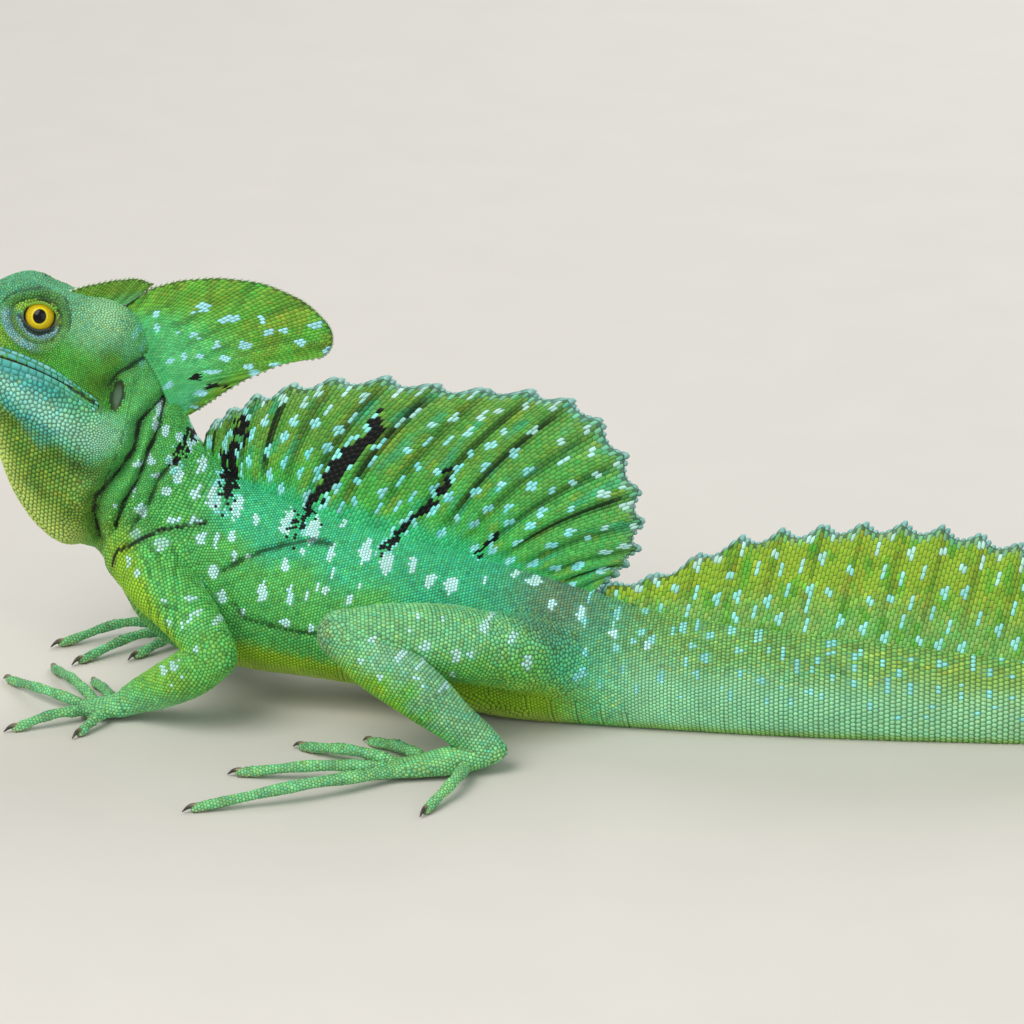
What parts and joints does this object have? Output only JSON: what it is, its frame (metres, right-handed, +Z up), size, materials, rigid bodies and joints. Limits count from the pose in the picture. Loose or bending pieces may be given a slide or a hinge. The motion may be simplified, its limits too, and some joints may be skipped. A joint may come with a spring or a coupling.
{
  "type": "green basilisk",
  "caption": "Life-size green basilisk lizard at rest with its head raised, round head crest, tall sail on the back and a crest along the tail.",
  "frame": {"origin": "middle of the bounding box, at floor level", "axes": "+X towards the tail tip, +Y towards the animal's right side, +Z up"},
  "size_m": [0.6574, 0.1768, 0.1135],
  "materials": {
    "head_skin": "satin",
    "body_skin": "satin",
    "limb_skin": "satin",
    "crest_skin": "satin",
    "eye": "gloss"
  },
  "bodies": {
    "root": {"head": "head_skin", "eye_left": "eye", "eye_right": "eye", "crest_front": "crest_skin", "crest_rear": "crest_skin", "neck": "body_skin", "torso": "body_skin", "sail": "crest_skin", "tail_1": "body_skin", "tail_2": "body_skin", "tail_3": "body_skin", "tail_4": "body_skin", "tail_crest_1": "crest_skin", "tail_crest_2": "crest_skin", "left_upper_arm": "limb_skin", "left_forearm": "limb_skin", "left_hand": "limb_skin", "left_thigh": "limb_skin", "left_shank": "limb_skin", "left_foot": "limb_skin", "right_upper_arm": "limb_skin", "right_forearm": "limb_skin", "right_hand": "limb_skin", "right_thigh": "limb_skin", "right_shank": "limb_skin", "right_foot": "limb_skin"}
  },
  "joints": []
}
